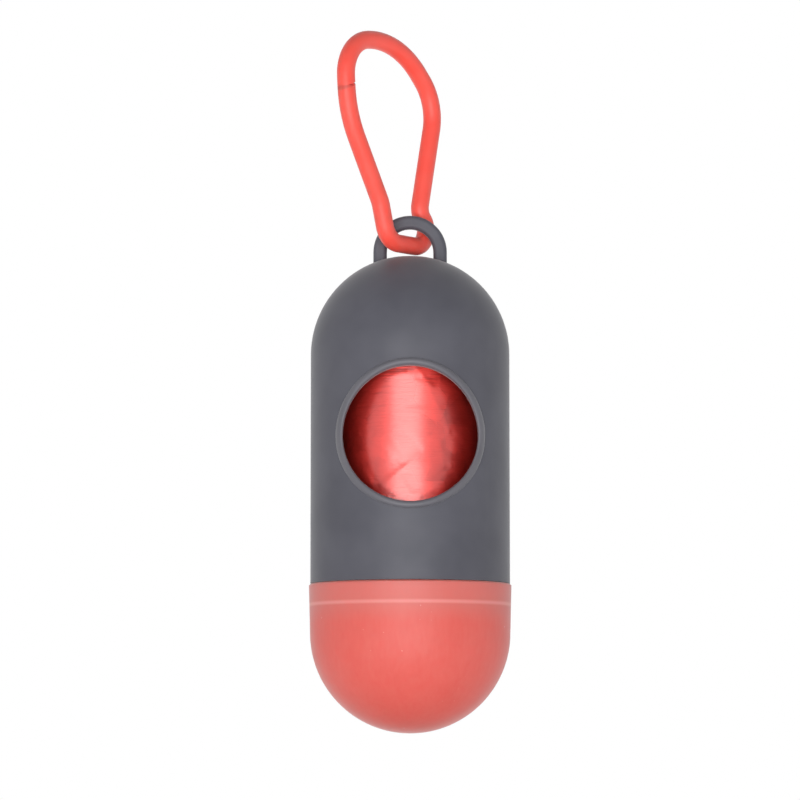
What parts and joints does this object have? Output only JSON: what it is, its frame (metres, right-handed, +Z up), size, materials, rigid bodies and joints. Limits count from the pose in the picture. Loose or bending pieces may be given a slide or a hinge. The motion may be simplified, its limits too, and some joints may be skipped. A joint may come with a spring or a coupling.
{
  "type": "dog waste bag dispenser",
  "caption": "Capsule that holds a roll of dog waste bags, with a round window to pull them out of, a screw cap at its foot and a snap hook in an eyelet on top.",
  "frame": {"origin": "lowest point of the cap's round bottom, on the capsule's axis", "axes": "+Z up along the capsule's axis to the hook, -Y out of the window, +X to the right of someone who faces the window"},
  "size_m": [0.0386, 0.0388, 0.1336],
  "materials": {
    "shell_plastic": "fine matt moulded polypropylene, warm grey",
    "cap_plastic": "translucent frosted polypropylene, coral",
    "hook_plastic": "satin moulded acetal, bright coral red",
    "cardboard": null,
    "bag_film": "thin red polyethylene film with a soft sheen"
  },
  "bodies": {
    "hook": {"hook_frame": "hook_plastic"},
    "gate": {"hook_gate": "hook_plastic"},
    "shell": {"body_shell": "shell_plastic"},
    "core": {"roll_core": "cardboard"},
    "bags": {"bag_roll": "bag_film", "leading_bag": "bag_film"},
    "cap": {"end_cap": "cap_plastic"}
  },
  "joints": [
    {"name": "gate_flex", "type": "hinge", "parent": "hook", "child": "gate", "pos_m": [-0.00567, -0.0063, 0.10075], "axis": [-0.7547, 0.6561, 0], "range_deg": [0, 20], "stiffness_Nm_per_rad": 0.3},
    {"name": "shell_swing", "type": "hinge", "parent": "hook", "child": "shell", "pos_m": [0, 0, 0.0932], "axis": [0, 1, 0], "range_deg": [-22, 15]},
    {"name": "cap_travel", "type": "slide", "parent": "shell", "child": "core", "axis": [0, 0, -1], "range_m": [0, 0.0045]},
    {"name": "cap_turn", "type": "hinge", "parent": "core", "child": "cap", "pos_m": [0, 0, 0.019], "axis": [0, 0, -1], "range_deg": [0, 540]},
    {"name": "roll_spin", "type": "hinge", "parent": "core", "child": "bags", "pos_m": [0, 0, 0.04024], "axis": [0, 0, 1], "continuous": true}
  ],
  "couplings": [
    {"joint": "cap_turn", "follows": "cap_travel", "rad_per_m": 2094.4}
  ]
}
